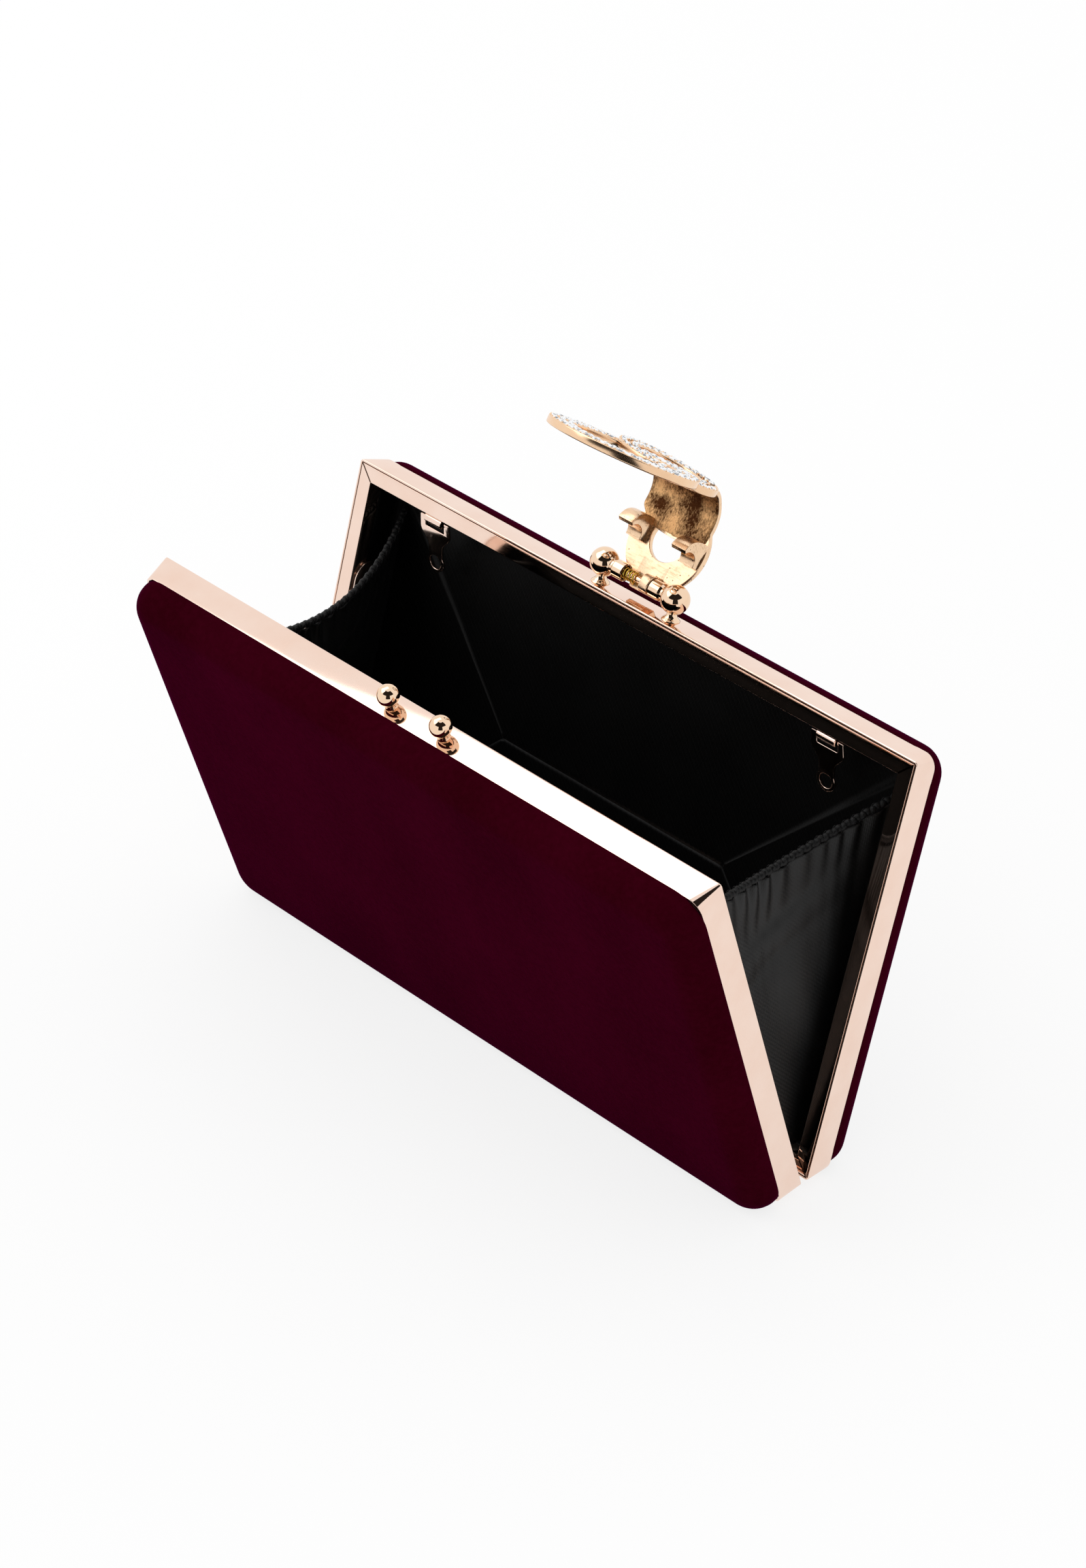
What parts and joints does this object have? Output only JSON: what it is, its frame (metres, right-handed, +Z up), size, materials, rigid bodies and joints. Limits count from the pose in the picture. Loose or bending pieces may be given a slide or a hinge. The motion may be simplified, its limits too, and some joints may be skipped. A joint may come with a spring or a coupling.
{
  "type": "hard frame clutch bag",
  "caption": "Hard evening clutch standing open in a V, with polished frames, velvet panels, satin lining and folding end gussets, a flip clasp with linked stone-set rings, strap clips and a stay.",
  "frame": {"origin": "on the floor, under the middle of the open bag's bounding box", "axes": "+X along the case to its right end, -Y to the front half that faces the viewer, +Z up; the bag stands open on its hinged edge on z = 0"},
  "size_m": [0.1816, 0.0998, 0.1589],
  "materials": {
    "frame_metal": "polished light rose gold plate",
    "clasp_metal": "cast and gold plated",
    "spring_wire": "drawn wire",
    "velvet": "short pile, dark red with a magenta sheen",
    "satin": "black satin twill",
    "elastic": "black edge with zigzag stitch",
    "foam": "thin padding",
    "board": "pressed fibre board",
    "stones": "faceted clear stones"
  },
  "bodies": {
    "rear_half": {"rear_frame": "frame_metal", "rear_board": "board", "rear_foam": "foam", "rear_velvet": "velvet", "rear_lining": "satin", "rear_hinge_left": "frame_metal", "rear_hinge_right": "frame_metal", "hinge_pin_left": "frame_metal", "hinge_pin_right": "frame_metal", "rear_stud_left": "frame_metal", "rear_stud_right": "frame_metal", "clasp_axle": "clasp_metal", "clasp_spring": "spring_wire", "clip_tab_left": "frame_metal", "clip_tab_right": "frame_metal", "stay_bracket": "frame_metal", "gusset_left": "satin", "gusset_right": "satin", "elastic_left": "elastic", "elastic_right": "elastic"},
    "front_half": {"front_frame": "frame_metal", "front_board": "board", "front_foam": "foam", "front_velvet": "velvet", "front_lining": "satin", "front_hinge_left": "frame_metal", "front_hinge_right": "frame_metal", "front_stud_left": "frame_metal", "front_stud_right": "frame_metal"},
    "clasp": {"clasp_body": "clasp_metal", "stones_large_ring": "stones", "stones_small_ring": "stones"},
    "clip_left": {"clip_plate_left": "frame_metal"},
    "clip_right": {"clip_plate_right": "frame_metal"},
    "stay": {"stay_bar": "frame_metal"}
  },
  "joints": [
    {"name": "front_hinge", "type": "hinge", "parent": "rear_half", "child": "front_half", "pos_m": [0, -0.00586, 0.00246], "axis": [-1, 0, 0], "range_deg": [0, 33], "deforming": ["gusset_left", "gusset_right", "elastic_left", "elastic_right"]},
    {"name": "clasp_flip", "type": "hinge", "parent": "rear_half", "child": "clasp", "pos_m": [0, 0.03027, 0.10982], "axis": [1, 0, 0], "range_deg": [0, 114], "stiffness_Nm_per_rad": 0.004, "springref_deg": -11.46, "deforming": ["clasp_spring"]},
    {"name": "clip_left_swing", "type": "hinge", "parent": "rear_half", "child": "clip_left", "pos_m": [-0.0638, 0.02545, 0.09972], "axis": [1, 0, 0], "range_deg": [-50, 20]},
    {"name": "clip_right_swing", "type": "hinge", "parent": "rear_half", "child": "clip_right", "pos_m": [0.0638, 0.02545, 0.09972], "axis": [1, 0, 0], "range_deg": [-50, 20]},
    {"name": "stay_swing", "type": "hinge", "parent": "rear_half", "child": "stay", "pos_m": [-0.0844, 0.02113, 0.07175], "axis": [1, 0, 0], "range_deg": [0, 68]}
  ],
  "couplings": [
    {"joint": "stay_swing", "follows": "front_hinge", "ratio": 2.05}
  ]
}
